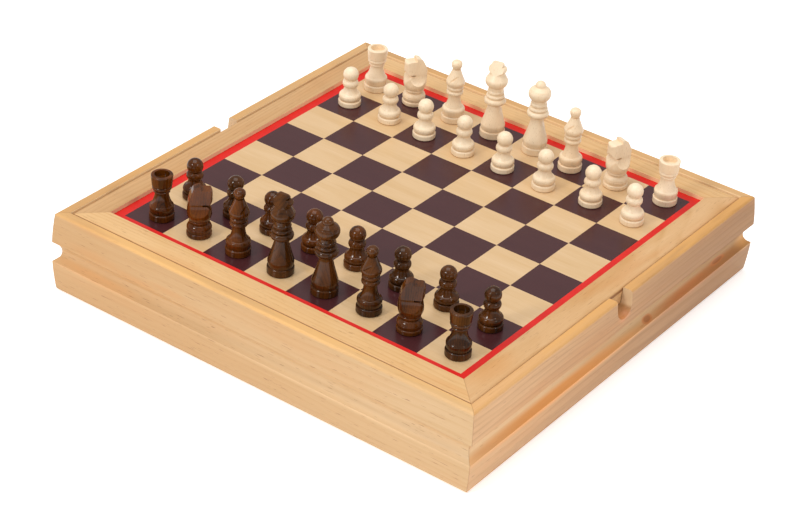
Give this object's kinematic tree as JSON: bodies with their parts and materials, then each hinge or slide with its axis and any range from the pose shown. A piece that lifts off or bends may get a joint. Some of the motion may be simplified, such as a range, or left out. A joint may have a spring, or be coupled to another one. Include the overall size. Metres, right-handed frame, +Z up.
{
  "type": "chess box",
  "caption": "Coved pine box whose framed chessboard lid lifts out of a rebate by finger notches, with turned and carved chessmen standing on it.",
  "frame": {"origin": "middle of the box's underside", "axes": "+Z up; the front, where the dark men stand, looks towards -Y; +X is to the right of someone facing the front"},
  "size_m": [0.2972, 0.2972, 0.1001],
  "materials": {
    "pine": "satin clear lacquer over pale pine with long straight grain",
    "plywood": "plain unfinished plywood",
    "pale_veneer": "satin lacquer over pale veneer",
    "dark_veneer": "satin lacquer over aubergine-brown stain",
    "red_line": "satin lacquer over bright red stain",
    "dark_men": "glossy walnut-brown stain and lacquer on turned wood",
    "light_men": "satin lacquer on pale turned wood"
  },
  "bodies": {
    "box": {"side_front": "pine", "side_right": "pine", "side_back": "pine", "side_left": "pine", "bottom_panel": "plywood"},
    "playing_board": {"rail_front": "pine", "rail_right": "pine", "rail_back": "pine", "rail_left": "pine", "board_panel": "plywood", "light_squares": "pale_veneer", "dark_squares": "dark_veneer", "red_line": "red_line"},
    "dark_rook_a": {"dark_rook_a": "dark_men"},
    "dark_knight_b": {"dark_knight_b": "dark_men"},
    "dark_bishop_c": {"dark_bishop_c": "dark_men"},
    "dark_king_d": {"dark_king_d": "dark_men"},
    "dark_queen_e": {"dark_queen_e": "dark_men"},
    "dark_bishop_f": {"dark_bishop_f": "dark_men"},
    "dark_knight_g": {"dark_knight_g": "dark_men"},
    "dark_rook_h": {"dark_rook_h": "dark_men"},
    "light_rook_a": {"light_rook_a": "light_men"},
    "light_knight_b": {"light_knight_b": "light_men"},
    "light_bishop_c": {"light_bishop_c": "light_men"},
    "light_king_d": {"light_king_d": "light_men"},
    "light_queen_e": {"light_queen_e": "light_men"},
    "light_bishop_f": {"light_bishop_f": "light_men"},
    "light_knight_g": {"light_knight_g": "light_men"},
    "light_rook_h": {"light_rook_h": "light_men"},
    "dark_pawn_a": {"dark_pawn_a": "dark_men"},
    "dark_pawn_b": {"dark_pawn_b": "dark_men"},
    "dark_pawn_c": {"dark_pawn_c": "dark_men"},
    "dark_pawn_d": {"dark_pawn_d": "dark_men"},
    "dark_pawn_e": {"dark_pawn_e": "dark_men"},
    "dark_pawn_f": {"dark_pawn_f": "dark_men"},
    "dark_pawn_g": {"dark_pawn_g": "dark_men"},
    "dark_pawn_h": {"dark_pawn_h": "dark_men"},
    "light_pawn_a": {"light_pawn_a": "light_men"},
    "light_pawn_b": {"light_pawn_b": "light_men"},
    "light_pawn_c": {"light_pawn_c": "light_men"},
    "light_pawn_d": {"light_pawn_d": "light_men"},
    "light_pawn_e": {"light_pawn_e": "light_men"},
    "light_pawn_f": {"light_pawn_f": "light_men"},
    "light_pawn_g": {"light_pawn_g": "light_men"},
    "light_pawn_h": {"light_pawn_h": "light_men"}
  },
  "joints": [
    {"name": "board_lift", "type": "slide", "parent": "box", "child": "playing_board", "axis": [0, 0, 1], "range_m": [0, 0.06]},
    {"name": "dark_rook_a_lift", "type": "slide", "parent": "playing_board", "child": "dark_rook_a", "axis": [0, 0, 1], "range_m": [0, 0.06]},
    {"name": "dark_knight_b_lift", "type": "slide", "parent": "playing_board", "child": "dark_knight_b", "axis": [0, 0, 1], "range_m": [0, 0.06]},
    {"name": "dark_bishop_c_lift", "type": "slide", "parent": "playing_board", "child": "dark_bishop_c", "axis": [0, 0, 1], "range_m": [0, 0.06]},
    {"name": "dark_king_d_lift", "type": "slide", "parent": "playing_board", "child": "dark_king_d", "axis": [0, 0, 1], "range_m": [0, 0.06]},
    {"name": "dark_queen_e_lift", "type": "slide", "parent": "playing_board", "child": "dark_queen_e", "axis": [0, 0, 1], "range_m": [0, 0.06]},
    {"name": "dark_bishop_f_lift", "type": "slide", "parent": "playing_board", "child": "dark_bishop_f", "axis": [0, 0, 1], "range_m": [0, 0.06]},
    {"name": "dark_knight_g_lift", "type": "slide", "parent": "playing_board", "child": "dark_knight_g", "axis": [0, 0, 1], "range_m": [0, 0.06]},
    {"name": "dark_rook_h_lift", "type": "slide", "parent": "playing_board", "child": "dark_rook_h", "axis": [0, 0, 1], "range_m": [0, 0.06]},
    {"name": "light_rook_a_lift", "type": "slide", "parent": "playing_board", "child": "light_rook_a", "axis": [0, 0, 1], "range_m": [0, 0.06]},
    {"name": "light_knight_b_lift", "type": "slide", "parent": "playing_board", "child": "light_knight_b", "axis": [0, 0, 1], "range_m": [0, 0.06]},
    {"name": "light_bishop_c_lift", "type": "slide", "parent": "playing_board", "child": "light_bishop_c", "axis": [0, 0, 1], "range_m": [0, 0.06]},
    {"name": "light_king_d_lift", "type": "slide", "parent": "playing_board", "child": "light_king_d", "axis": [0, 0, 1], "range_m": [0, 0.06]},
    {"name": "light_queen_e_lift", "type": "slide", "parent": "playing_board", "child": "light_queen_e", "axis": [0, 0, 1], "range_m": [0, 0.06]},
    {"name": "light_bishop_f_lift", "type": "slide", "parent": "playing_board", "child": "light_bishop_f", "axis": [0, 0, 1], "range_m": [0, 0.06]},
    {"name": "light_knight_g_lift", "type": "slide", "parent": "playing_board", "child": "light_knight_g", "axis": [0, 0, 1], "range_m": [0, 0.06]},
    {"name": "light_rook_h_lift", "type": "slide", "parent": "playing_board", "child": "light_rook_h", "axis": [0, 0, 1], "range_m": [0, 0.06]},
    {"name": "dark_pawn_a_lift", "type": "slide", "parent": "playing_board", "child": "dark_pawn_a", "axis": [0, 0, 1], "range_m": [0, 0.06]},
    {"name": "dark_pawn_b_lift", "type": "slide", "parent": "playing_board", "child": "dark_pawn_b", "axis": [0, 0, 1], "range_m": [0, 0.06]},
    {"name": "dark_pawn_c_lift", "type": "slide", "parent": "playing_board", "child": "dark_pawn_c", "axis": [0, 0, 1], "range_m": [0, 0.06]},
    {"name": "dark_pawn_d_lift", "type": "slide", "parent": "playing_board", "child": "dark_pawn_d", "axis": [0, 0, 1], "range_m": [0, 0.06]},
    {"name": "dark_pawn_e_lift", "type": "slide", "parent": "playing_board", "child": "dark_pawn_e", "axis": [0, 0, 1], "range_m": [0, 0.06]},
    {"name": "dark_pawn_f_lift", "type": "slide", "parent": "playing_board", "child": "dark_pawn_f", "axis": [0, 0, 1], "range_m": [0, 0.06]},
    {"name": "dark_pawn_g_lift", "type": "slide", "parent": "playing_board", "child": "dark_pawn_g", "axis": [0, 0, 1], "range_m": [0, 0.06]},
    {"name": "dark_pawn_h_lift", "type": "slide", "parent": "playing_board", "child": "dark_pawn_h", "axis": [0, 0, 1], "range_m": [0, 0.06]},
    {"name": "light_pawn_a_lift", "type": "slide", "parent": "playing_board", "child": "light_pawn_a", "axis": [0, 0, 1], "range_m": [0, 0.06]},
    {"name": "light_pawn_b_lift", "type": "slide", "parent": "playing_board", "child": "light_pawn_b", "axis": [0, 0, 1], "range_m": [0, 0.06]},
    {"name": "light_pawn_c_lift", "type": "slide", "parent": "playing_board", "child": "light_pawn_c", "axis": [0, 0, 1], "range_m": [0, 0.06]},
    {"name": "light_pawn_d_lift", "type": "slide", "parent": "playing_board", "child": "light_pawn_d", "axis": [0, 0, 1], "range_m": [0, 0.06]},
    {"name": "light_pawn_e_lift", "type": "slide", "parent": "playing_board", "child": "light_pawn_e", "axis": [0, 0, 1], "range_m": [0, 0.06]},
    {"name": "light_pawn_f_lift", "type": "slide", "parent": "playing_board", "child": "light_pawn_f", "axis": [0, 0, 1], "range_m": [0, 0.06]},
    {"name": "light_pawn_g_lift", "type": "slide", "parent": "playing_board", "child": "light_pawn_g", "axis": [0, 0, 1], "range_m": [0, 0.06]},
    {"name": "light_pawn_h_lift", "type": "slide", "parent": "playing_board", "child": "light_pawn_h", "axis": [0, 0, 1], "range_m": [0, 0.06]}
  ]
}
